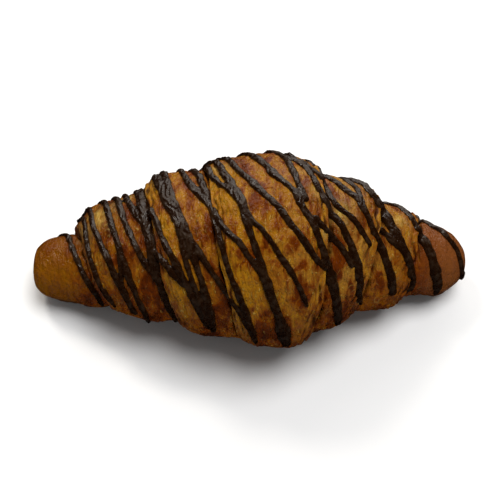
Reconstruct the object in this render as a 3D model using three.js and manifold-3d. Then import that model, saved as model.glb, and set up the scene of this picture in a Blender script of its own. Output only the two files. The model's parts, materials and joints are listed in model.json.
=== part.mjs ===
// A butter croissant with dark chocolate drizzled over it, as it lies on its flat base.
//
// The pastry is one long triangle of layered dough, rolled up and baked into one body. Its outside is
// worked out from the roll itself: each turn of the dough lies on the turn below it, and shows as a
// rounded lip where its two free edges end. The chocolate set in nine separate pieces, each one a web of
// beads that ran together where they crossed.
//
// Millimetres, +Z up. +X runs from the blunt tip to the pointed tip, -Y is the front. The origin is on
// the base, under the middle of the bounding box.

import * as THREE from 'three';
import { mergeVertices } from 'three/addons/utils/BufferGeometryUtils.js';
import Module from 'manifold-3d';

const wasm = await Module();
wasm.setup();

// ---------------------------------------------------------------- driving dimensions

const HALF_LENGTH = 83; // tip to middle
const SECTION_WIDTH = 1.04; // the section is a little wider than the roll's own radius,
const SECTION_HEIGHT = 0.92; // and a little lower, because the dough sagged as it baked
const BASE_ROUNDING = 2; // how softly the flat base turns up into the sides
const DRIZZLE_GAP = 0.35; // clearance between chocolate and pastry
const DRIZZLE_ROOT = 1.2; // how deep a bead is started inside the pastry before it is trimmed
const RINGS = 56; // pastry facets along the roll
const SEGMENTS = 36; // pastry facets around the roll
const BEAD_STEP = 6.5; // length of one facet of a bead of chocolate
const BEAD_SIDES = 5;
const BEAD_END_TAPER = 0.7; // a bead narrows at its two ends
const LENGTH_SAMPLES = 60; // chords that a bead's length is measured with

// Angles around the roll are in degrees: 0 faces the front, 90 is the top, 180 the back, -90 the base.
const SEAM = -120; // the triangle's apex is tucked under the base at this angle
const TURN = 360;

// The rolled triangle, from its apex outwards. `angle` counts on round the roll from turn to turn, `left`
// and `right` are where the two free edges lie along X, `thick` is how far each edge stands above the turn
// below, and `lip` is how far in from each edge the dough takes to rise to that height.
const DOUGH = [
  { angle: -130, left: 9, right: 9, thick: [0, 0], lip: [6, 6] },
  { angle: -90, left: 4, right: 13, thick: [2, 2.6], lip: [7, 8] },
  { angle: -30, left: -1, right: 19.5, thick: [3.2, 4.8], lip: [7, 9] },
  { angle: 60, left: -10, right: 27, thick: [3.6, 4.6], lip: [8, 7] },
  { angle: 150, left: -17, right: 25, thick: [2.9, 4], lip: [11, 10] },
  { angle: 240, left: -20, right: 30, thick: [4.6, 4.6], lip: [9, 11] },
  { angle: 330, left: -24, right: 34.5, thick: [5.4, 5], lip: [9, 8] },
  { angle: 420, left: -32, right: 45, thick: [5.8, 5.4], lip: [9, 8] },
  { angle: 510, left: -40, right: 48.5, thick: [4.8, 4.9], lip: [11, 9] },
  { angle: 600, left: -45, right: 51.5, thick: [6.4, 5], lip: [10, 7] },
  { angle: 690, left: -49.5, right: 54.8, thick: [7, 4.4], lip: [14, 6] },
  { angle: 780, left: -59, right: 61, thick: [7.4, 3.6], lip: [14, 7] },
  { angle: 870, left: -66.5, right: 63.8, thick: [8.4, 2.8], lip: [9, 8] },
  { angle: 960, left: -71, right: 68, thick: [4.6, 1.6], lip: [8, 6] },
  { angle: 1050, left: -76, right: 74, thick: [0, 0], lip: [5, 5] },
];

// Radius of the rolled core under the outer turns, as [X, radius].
const CORE = [
  [-83, 0], [-82.3, 5.8], [-80.5, 9], [-77, 11.2], [-72, 12.4], [-66, 13.6], [-58, 15.6], [-45, 16.2],
  [-33, 18], [-20, 18.9], [-5, 20.8], [8, 21.8], [20, 21], [30, 19.6], [42, 17.8], [55, 16.2],
  [63, 14.8], [69, 13.7], [74, 12.3], [78, 9.9], [81, 6.8], [82.5, 3.8], [83, 0],
];

// The roll's axis: how high it lies and how far it leans to the back, as [X, distance].
const AXIS_HEIGHT = [
  [-83, 11.6], [-66, 13.2], [-50, 19.5], [-35, 25], [-15, 28], [5, 29], [20, 28], [40, 24], [55, 18.5],
  [68, 13.5], [83, 11.5],
];
const AXIS_DEPTH = [
  [-83, 3.9], [-70, 3.2], [-60, 2.1], [-40, 1.5], [-15, 0.6], [5, 1], [25, 2.2], [45, 3.8], [65, 6.4],
  [83, 7],
];

// The drizzle, piece by piece from the blunt tip to the pointed one. Each line of a piece is one bead of
// chocolate, as its width and height and the points [X, angle] that it runs through, from the back, over
// the top and down the front.
const DRIZZLE = {
  drizzle_blunt_tip: [
    {
      width: 2.4, height: 1.4,
      path: [[-74.3, 172], [-69.5, 128], [-67, 99], [-62.5, 58], [-57, 16], [-55, -18]],
    },
  ],
  drizzle_blunt_shoulder: [
    {
      width: 2.6, height: 1.4,
      path: [[-66.2, 158], [-62, 120], [-57, 59], [-52.5, 25], [-49, 7]],
    },
  ],
  drizzle_first_lobe: [
    {
      width: 2.6, height: 1.5,
      path: [[-67, 178], [-61, 139], [-57.5, 101], [-51, 63], [-45.5, 30], [-41.5, -2]],
    },
    {
      width: 2.6, height: 1.5,
      path: [[-59.7, 170], [-55.5, 140], [-51.5, 105], [-47, 73], [-44.5, 46], [-40, 18], [-37, -24]],
    },
    {
      width: 2, height: 1.3,
      path: [[-47.5, 78], [-46.3, 60], [-46, 46], [-45.5, 31]],
    },
  ],
  drizzle_left_web: [
    {
      width: 2.8, height: 1.5,
      path: [[-55.6, 183], [-50.5, 139], [-47, 107], [-41, 70], [-35.5, 48], [-31, 23], [-25, -4]],
    },
    {
      width: 2.4, height: 1.5,
      path: [[-48.6, 160], [-45.5, 125], [-38.5, 90], [-33.5, 63], [-27.5, 48], [-21.5, 33], [-18, 20]],
    },
    {
      width: 3.4, height: 1.6,
      path: [[-45.7, 186], [-41.5, 134], [-37.5, 90], [-34, 57], [-31, 26], [-26.5, -18]],
    },
    {
      width: 2.6, height: 1.5,
      path: [[-42.5, 172], [-39, 119], [-33, 81], [-27.5, 58], [-22.5, 40], [-18, 21], [-15, 4]],
    },
    {
      width: 3.4, height: 1.7,
      path: [[-38.2, 180], [-34, 128], [-28.5, 94], [-24.5, 74], [-22, 53], [-18.5, 31], [-14.5, -1]],
    },
    {
      width: 3.4, height: 1.7,
      path: [[-33.8, 162], [-31, 128], [-26.5, 91], [-22, 68], [-18.5, 48], [-15, 25], [-13, -10]],
    },
    {
      width: 2.4, height: 1.5,
      path: [[-29, 105], [-26.5, 91], [-21.5, 71], [-15, 52], [-8, 33], [-2, 18], [0, 8]],
    },
    {
      width: 2.6, height: 1.5,
      path: [[-29.1, 176], [-24.5, 130], [-17.5, 100], [-12.5, 85], [-6.5, 69], [1, 53], [5.5, 41]],
    },
    {
      width: 2.8, height: 1.5,
      path: [[-24.4, 168], [-20.5, 136], [-15, 97], [-11.5, 74], [-8, 54], [-4.5, 39], [-1, 22], [2, -7]],
    },
    {
      width: 2.4, height: 1.5,
      path: [[-24, 184], [-17, 140], [-10.5, 105], [-4, 89], [4, 71], [13, 50], [18.5, 32], [20, 24]],
    },
    {
      width: 3, height: 2,
      path: [[-19.6, 174], [-12, 131], [-7.5, 106], [-1.5, 79], [3, 55], [7, 33], [11.5, 12], [13, -9]],
    },
  ],
  drizzle_middle_web: [
    {
      width: 2.6, height: 1.5,
      path: [[-13.5, 160], [-8.5, 134], [-1, 106], [10, 83], [20, 60], [29, 40]],
    },
    {
      width: 3, height: 1.9,
      path: [[-10.4, 186], [-1, 141], [6.5, 114], [15.5, 93], [22.5, 70], [26, 54], [30.5, 24], [31.5, -5]],
    },
    {
      width: 2.4, height: 1.5,
      path: [[7.3, 170], [13, 127], [18, 95], [22, 80], [33, 59], [37.5, 43]],
    },
    {
      width: 2.8, height: 1.9,
      path: [[0.9, 178], [10, 140], [17, 125], [24, 101], [31, 81], [36, 60], [39, 36], [40, -3]],
    },
    {
      width: 2.4, height: 1.5,
      path: [[11.4, 163], [17, 131], [26, 112], [31, 92], [38, 79], [43, 64]],
    },
  ],
  drizzle_second_lobe: [
    {
      width: 3, height: 1.9,
      path: [[16.6, 182], [26, 136], [35.5, 110], [41, 93], [45, 77], [49, 56], [51.5, 30], [52, 10]],
    },
    {
      width: 2, height: 1.4,
      path: [[33.5, 140], [36, 128], [39, 113], [41.5, 90]],
    },
  ],
  drizzle_third_lobe: [
    {
      width: 3.4, height: 1.7,
      path: [[31.4, 172], [38, 143], [46.5, 116], [51, 96], [56.5, 65], [60, 28], [59, -5]],
    },
    {
      width: 2.4, height: 1.4,
      path: [[47, 85], [50, 80], [55.5, 67], [58.5, 48]],
    },
  ],
  drizzle_pointed_shoulder: [
    {
      width: 3.2, height: 1.6,
      path: [[47.2, 168], [51, 142], [58, 128], [62, 102], [66.5, 75], [69.5, 37], [70.5, -12]],
    },
  ],
  drizzle_pointed_tip: [
    {
      width: 2.4, height: 1.4,
      path: [[60.6, 173], [69, 125], [75, 102], [77.8, 85], [79.2, 60], [80.2, 30], [80.6, 0]],
    },
  ],
};

// ---------------------------------------------------------------- materials

const BAKED_CRUST = new THREE.MeshStandardMaterial({ color: 0x96602a, roughness: 0.6, metalness: 0 });
const DARK_CHOCOLATE = new THREE.MeshStandardMaterial({ color: 0x2c1b12, roughness: 0.35, metalness: 0 });

// ---------------------------------------------------------------- small helpers

const { clamp, lerp, smoothstep, degToRad, radToDeg, euclideanModulo } = THREE.MathUtils;

// A smooth curve through [at, value] knots, level beyond the first and the last.
function smoothCurve(knots) {
  const last = knots.length - 1;
  const rise = (a, b) => (knots[b][1] - knots[a][1]) / (knots[b][0] - knots[a][0]);
  const slopes = knots.map((_, i) => rise(Math.max(i - 1, 0), Math.min(i + 1, last)));
  return (at) => {
    const t = clamp(at, knots[0][0], knots[last][0]);
    let i = 0;
    while (i < last - 1 && t > knots[i + 1][0]) i += 1;
    const width = knots[i + 1][0] - knots[i][0];
    const u = (t - knots[i][0]) / width;
    const start = (1 + 2 * u) * (1 - u) ** 2 * knots[i][1] + u * (1 - u) ** 2 * width * slopes[i];
    const end = u * u * (3 - 2 * u) * knots[i + 1][1] + u * u * (u - 1) * width * slopes[i + 1];
    return start + end;
  };
}

// How full a lip is at a fraction of its width in from the edge: a quarter of an ellipse.
function roundedLip(fraction) {
  const inwards = clamp(fraction, 0, 1);
  return Math.sqrt(1 - (1 - inwards) ** 2);
}

// ---------------------------------------------------------------- the roll's outer surface

const doughCurve = (read) => smoothCurve(DOUGH.map((row) => [row.angle, read(row)]));
const edge = { left: doughCurve((row) => row.left), right: doughCurve((row) => row.right) };
const thick = { left: doughCurve((row) => row.thick[0]), right: doughCurve((row) => row.thick[1]) };
const lip = { left: doughCurve((row) => row.lip[0]), right: doughCurve((row) => row.lip[1]) };
const coreRadius = smoothCurve(CORE);
const axisHeight = smoothCurve(AXIS_HEIGHT);
const axisDepth = smoothCurve(AXIS_DEPTH);
const FIRST_ANGLE = DOUGH[0].angle;
const LAST_ANGLE = DOUGH[DOUGH.length - 1].angle;

// The angles at which the rolled dough passes over one direction, one for each turn.
function turnsOver(angle) {
  const first = euclideanModulo(angle - SEAM, TURN) + SEAM;
  const turns = [];
  for (let unrolled = first; unrolled <= LAST_ANGLE; unrolled += TURN) {
    if (unrolled >= FIRST_ANGLE) turns.push(unrolled);
  }
  return turns;
}

// The roll's radius at X and an angle: the core with every turn that covers this spot laid on it.
function rollRadius(x, angle) {
  let radius = coreRadius(x);
  for (const turn of turnsOver(angle)) {
    const left = edge.left(turn);
    const right = edge.right(turn);
    const across = smoothstep(x, left, right);
    const fromLeft = roundedLip((x - left) / lip.left(turn));
    const fromRight = roundedLip((right - x) / lip.right(turn));
    radius += lerp(thick.left(turn), thick.right(turn), across) * fromLeft * fromRight;
  }
  return radius;
}

// A point on the croissant, `lift` above the pastry, with the underside flattened onto z = 0.
function onPastry(x, angle, lift = 0) {
  const radius = rollRadius(x, angle) + lift;
  const y = axisDepth(x) - SECTION_WIDTH * radius * Math.cos(degToRad(angle));
  const z = axisHeight(x) + SECTION_HEIGHT * radius * Math.sin(degToRad(angle));
  if (z > BASE_ROUNDING) return new THREE.Vector3(x, y, z);
  if (z < -BASE_ROUNDING) return new THREE.Vector3(x, y, 0);
  return new THREE.Vector3(x, y, (z + BASE_ROUNDING) ** 2 / (4 * BASE_ROUNDING));
}

// Which way the pastry faces at X and an angle.
function facing(x, angle) {
  const reach = 0.8; // mm either way
  const turned = 1.5; // degrees either way
  const along = onPastry(x + reach, angle).sub(onPastry(x - reach, angle));
  const around = onPastry(x, angle + turned).sub(onPastry(x, angle - turned));
  return along.cross(around).normalize();
}

// ---------------------------------------------------------------- pastry

// How closely the facet rings stand at X, where 1 is even: closer at each free edge, where the surface
// steps, and closer towards the tips, where it rounds off.
function ringDensity(x, angle) {
  const reach = 2.6;
  const inset = 1;
  const fadeAngle = 60;
  const edgeCrowding = 3;
  const tipCrowding = 2.5;
  const tipLength = 8;
  let density = 1;
  for (const turn of turnsOver(angle)) {
    const started = smoothstep(turn, FIRST_ANGLE, FIRST_ANGLE + fadeAngle);
    const ended = smoothstep(turn, LAST_ANGLE - fadeAngle, LAST_ANGLE);
    for (const at of [edge.left(turn) + inset, edge.right(turn) - inset]) {
      density += edgeCrowding * started * (1 - ended) * Math.exp(-(((x - at) / reach) ** 2));
    }
  }
  return density + tipCrowding * smoothstep(Math.abs(x), HALF_LENGTH - tipLength, HALF_LENGTH);
}

// Where the facet rings cross one direction, from tip to tip.
function ringPlaces(angle) {
  const samples = 400;
  const total = [0];
  for (let i = 1; i <= samples; i += 1) {
    total.push(total[i - 1] + ringDensity(lerp(-HALF_LENGTH, HALF_LENGTH, (i - 0.5) / samples), angle));
  }
  const places = [];
  let i = 0;
  for (let ring = 0; ring <= RINGS; ring += 1) {
    const wanted = (total[samples] * ring) / RINGS;
    while (i < samples - 1 && total[i + 1] < wanted) i += 1;
    const within = (wanted - total[i]) / (total[i + 1] - total[i]);
    places.push(lerp(-HALF_LENGTH, HALF_LENGTH, (i + within) / samples));
  }
  return places;
}

function closedCopy(geometry) {
  geometry.deleteAttribute('normal');
  geometry.deleteAttribute('uv');
  return mergeVertices(geometry);
}

// A sphere whose rings are drawn out into the croissant, `lift` larger all round.
function pastryGeometry(lift = 0) {
  const ball = closedCopy(new THREE.SphereGeometry(1, SEGMENTS, RINGS));
  ball.rotateZ(-Math.PI / 2);
  const spots = ball.attributes.position;
  const placesByAngle = new Map();
  for (let i = 0; i < spots.count; i += 1) {
    const ring = Math.round((1 - Math.acos(clamp(spots.getX(i), -1, 1)) / Math.PI) * RINGS);
    const atTip = ring === 0 || ring === RINGS;
    const angle = atTip ? 0 : Math.round(radToDeg(Math.atan2(spots.getZ(i), -spots.getY(i))) * 100) / 100;
    if (!placesByAngle.has(angle)) placesByAngle.set(angle, ringPlaces(angle));
    const point = onPastry(placesByAngle.get(angle)[ring], angle, atTip ? 0 : lift);
    spots.setXYZ(i, point.x, point.y, point.z);
  }
  return ball;
}

// ---------------------------------------------------------------- chocolate

// Stations along a bead's path on the pastry, each with its centre, the way up and the way sideways.
function beadStations(path) {
  const route = new THREE.SplineCurve(path.map(([x, angle]) => new THREE.Vector2(x, angle)));
  const trial = route.getPoints(LENGTH_SAMPLES).map((spot) => onPastry(spot.x, spot.y));
  const length = trial.slice(1).reduce((sum, point, i) => sum + point.distanceTo(trial[i]), 0);
  const steps = Math.round(length / BEAD_STEP);
  const spots = route.getPoints(steps);
  const centres = spots.map((spot) => onPastry(spot.x, spot.y));
  const facings = spots.map((spot) => facing(spot.x, spot.y));
  return centres.map((centre, i) => {
    const before = Math.max(i - 1, 0);
    const after = Math.min(i + 1, steps);
    const ahead = centres[after].clone().sub(centres[before]).normalize();
    const up = facings[before].clone().add(facings[i]).add(facings[after]).normalize();
    const side = ahead.clone().cross(up).normalize();
    return { centre, up, side };
  });
}

// One bead: a closed cylinder laid along its path, sunk into the pastry by DRIZZLE_ROOT.
function beadGeometry({ width, height, path }) {
  const stations = beadStations(path);
  const last = stations.length - 1;
  const bead = closedCopy(new THREE.CylinderGeometry(1, 1, 1, BEAD_SIDES, last));
  const points = bead.attributes.position;
  for (let i = 0; i < points.count; i += 1) {
    const station = Math.round((points.getY(i) + 0.5) * last);
    const taper = station === 0 || station === last ? BEAD_END_TAPER : 1;
    const { centre, up, side } = stations[station];
    const across = (points.getX(i) * width * taper) / 2;
    const crown = points.getZ(i) * (points.getZ(i) > 0 ? height * taper : DRIZZLE_ROOT);
    const spot = centre.clone().addScaledVector(side, across).addScaledVector(up, crown);
    points.setXYZ(i, spot.x, spot.y, spot.z);
  }
  return bead;
}

function toSolid(geometry) {
  const vertProperties = new Float32Array(geometry.attributes.position.array);
  const triVerts = new Uint32Array(geometry.index.array);
  return new wasm.Manifold(new wasm.Mesh({ numProp: 3, vertProperties, triVerts }));
}

function toGeometry(solid) {
  const mesh = solid.getMesh();
  const geometry = new THREE.BufferGeometry();
  geometry.setAttribute('position', new THREE.BufferAttribute(mesh.vertProperties, 3));
  geometry.setIndex(new THREE.BufferAttribute(mesh.triVerts, 1));
  return geometry;
}

// The beads of one piece run together, and their underside is the shape of the pastry they set on.
function drizzleGeometry(beads, pastryWithGap) {
  const web = beads.map((bead) => toSolid(beadGeometry(bead))).reduce((sum, bead) => sum.add(bead));
  return toGeometry(web.subtract(pastryWithGap));
}

// ---------------------------------------------------------------- assembly

function part(name, geometry, material) {
  geometry.computeVertexNormals();
  const mesh = new THREE.Mesh(geometry, material);
  mesh.name = name;
  return mesh;
}

const croissant = new THREE.Group();
croissant.add(part('pastry', pastryGeometry(), BAKED_CRUST));

const pastryWithGap = toSolid(pastryGeometry(DRIZZLE_GAP));
for (const [name, beads] of Object.entries(DRIZZLE)) {
  croissant.add(part(name, drizzleGeometry(beads, pastryWithGap), DARK_CHOCOLATE));
}

export default croissant;
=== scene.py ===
"""A butter croissant with dark chocolate drizzled over it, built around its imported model.

The pastry is drawn out of a ball by the way its dough was rolled, turn on turn, with the lips, layers and
blisters that baking gives it. The chocolate is laid on that surface bead by bead and run together.
Lengths in the tables are millimetres, and angles are degrees round the roll: 0 faces the front, 90 is the
top, 180 the back and -90 the base. X runs from the blunt tip to the pointed one.
"""

import json
import math
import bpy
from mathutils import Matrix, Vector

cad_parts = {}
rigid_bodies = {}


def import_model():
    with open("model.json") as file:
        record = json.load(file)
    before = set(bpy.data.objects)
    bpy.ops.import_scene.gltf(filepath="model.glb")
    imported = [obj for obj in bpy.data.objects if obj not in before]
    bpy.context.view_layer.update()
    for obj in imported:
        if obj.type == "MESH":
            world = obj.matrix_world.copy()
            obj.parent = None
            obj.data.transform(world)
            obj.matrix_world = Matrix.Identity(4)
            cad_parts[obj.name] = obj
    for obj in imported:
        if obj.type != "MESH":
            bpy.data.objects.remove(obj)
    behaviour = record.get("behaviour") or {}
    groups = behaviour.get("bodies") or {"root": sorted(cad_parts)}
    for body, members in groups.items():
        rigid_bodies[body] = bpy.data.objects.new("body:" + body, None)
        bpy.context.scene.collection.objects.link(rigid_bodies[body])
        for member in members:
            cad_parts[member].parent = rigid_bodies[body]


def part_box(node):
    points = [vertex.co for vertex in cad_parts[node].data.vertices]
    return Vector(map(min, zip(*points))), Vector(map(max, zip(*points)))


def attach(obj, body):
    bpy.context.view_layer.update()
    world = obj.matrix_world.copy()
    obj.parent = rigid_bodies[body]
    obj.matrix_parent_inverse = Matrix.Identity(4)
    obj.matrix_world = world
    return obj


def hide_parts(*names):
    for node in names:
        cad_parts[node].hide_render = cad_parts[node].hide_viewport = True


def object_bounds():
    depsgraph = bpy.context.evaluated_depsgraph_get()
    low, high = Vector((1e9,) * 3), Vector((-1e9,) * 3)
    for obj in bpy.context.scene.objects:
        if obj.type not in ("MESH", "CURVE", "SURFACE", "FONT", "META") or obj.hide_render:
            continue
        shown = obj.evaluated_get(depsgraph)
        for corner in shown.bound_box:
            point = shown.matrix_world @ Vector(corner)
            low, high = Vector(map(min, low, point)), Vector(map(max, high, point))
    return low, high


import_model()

from types import SimpleNamespace

import bpy
import numpy as np
from mathutils import Vector, noise
from mathutils.bvhtree import BVHTree

bl_info = {
    "name": "Chocolate croissant",
    "version": (1, 0, 0),
    "blender": (4, 5, 0),
    "location": "View3D > Sidebar > Croissant",
    "description": "Bakes a croissant and drizzles dark chocolate over it",
    "category": "Add Mesh",
}

MM = 0.001
CAD_BOX = [list(corner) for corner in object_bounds()]
PASTRY_LOW, PASTRY_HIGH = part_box("pastry")
HALF_LENGTH = (PASTRY_HIGH.x - PASTRY_LOW.x) / 2 / MM

# The roll's section is a low oval, whose sides round into a flat base.
SECTION_WIDTH = 1.04
SECTION_HEIGHT = 0.92
BASE_ROUNDING = 2

# The unrolled angle counts on from the seam, a whole turn for each turn of dough over a direction.
SEAM = -120
TURN = 360
MOST_TURNS = 4

# The rolled triangle of dough from its apex outwards: the angle, counted on from turn to turn, where its
# left and right free edges lie, how far each stands above the turn below, and how wide each lip is.
DOUGH = np.array([
    (-130, 9, 9, 0, 0, 6, 6),
    (-90, 4, 13, 2, 2.6, 7, 8),
    (-30, -1, 19.5, 3.2, 4.8, 7, 9),
    (60, -10, 27, 3.6, 4.6, 8, 7),
    (150, -17, 25, 2.9, 4, 11, 10),
    (240, -20, 30, 4.6, 4.6, 9, 11),
    (330, -24, 34.5, 5.4, 5, 9, 8),
    (420, -32, 45, 5.8, 5.4, 9, 8),
    (510, -40, 48.5, 4.8, 4.9, 11, 9),
    (600, -45, 51.5, 6.4, 5, 10, 7),
    (690, -49.5, 54.8, 7, 4.4, 14, 6),
    (780, -59, 61, 7.4, 3.6, 14, 7),
    (870, -66.5, 63.8, 8.4, 2.8, 9, 8),
    (960, -71, 68, 4.6, 1.6, 8, 6),
    (1050, -76, 74, 0, 0, 5, 5),
])
FIRST_ANGLE = DOUGH[0, 0]
LAST_ANGLE = DOUGH[-1, 0]

# The free edges stray in slow and quick waves: degrees to a wave, how far, and what sets the waves apart.
WANDER = [(38, 0.9, 7.3, 1.1), (11, 0.5, 3.1, 5.7)]
LEFT_SIDE = 1
RIGHT_SIDE = 2

# A turn that stands this far above the one below has a full lip, and the rest have a share of one. Lips
# fainter than the faintest don't show, and no lip's share counts as less than the least.
FULL_LIP = 2.5
FAINTEST_LIP = 0.1
LEAST_SHARE = 0.05

# Radius of the rolled core, and the height and depth of its axis, along X.
CORE = [
    (-83, 0), (-82.3, 5.8), (-80.5, 9), (-77, 11.2), (-72, 12.4), (-66, 13.6), (-58, 15.6), (-45, 16.2),
    (-33, 18), (-20, 18.9), (-5, 20.8), (8, 21.8), (20, 21), (30, 19.6), (42, 17.8), (55, 16.2),
    (63, 14.8), (69, 13.7), (74, 12.3), (78, 9.9), (81, 6.8), (82.5, 3.8), (83, 0),
]
AXIS_HEIGHT = [
    (-83, 11.6), (-66, 13.2), (-50, 19.5), (-35, 25), (-15, 28), (5, 29), (20, 28), (40, 24), (55, 18.5),
    (68, 13.5), (83, 11.5),
]
AXIS_DEPTH = [
    (-83, 3.9), (-70, 3.2), (-60, 2.1), (-40, 1.5), (-15, 0.6), (5, 1), (25, 2.2), (45, 3.8), (65, 6.4),
    (83, 7),
]

# Pale patches painted on the crowns where they catch the light, as painted highlights: X, angle and reach.
HIGHLIGHT_PATCHES = [
    (-56.5, 112, 6), (-46, 128, 3.5), (-11, 122, 3.5), (25, 98, 3.2), (25.5, 70, 2.6), (32.5, 88, 4.5),
    (54.5, 101, 3.4),
]

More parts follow.
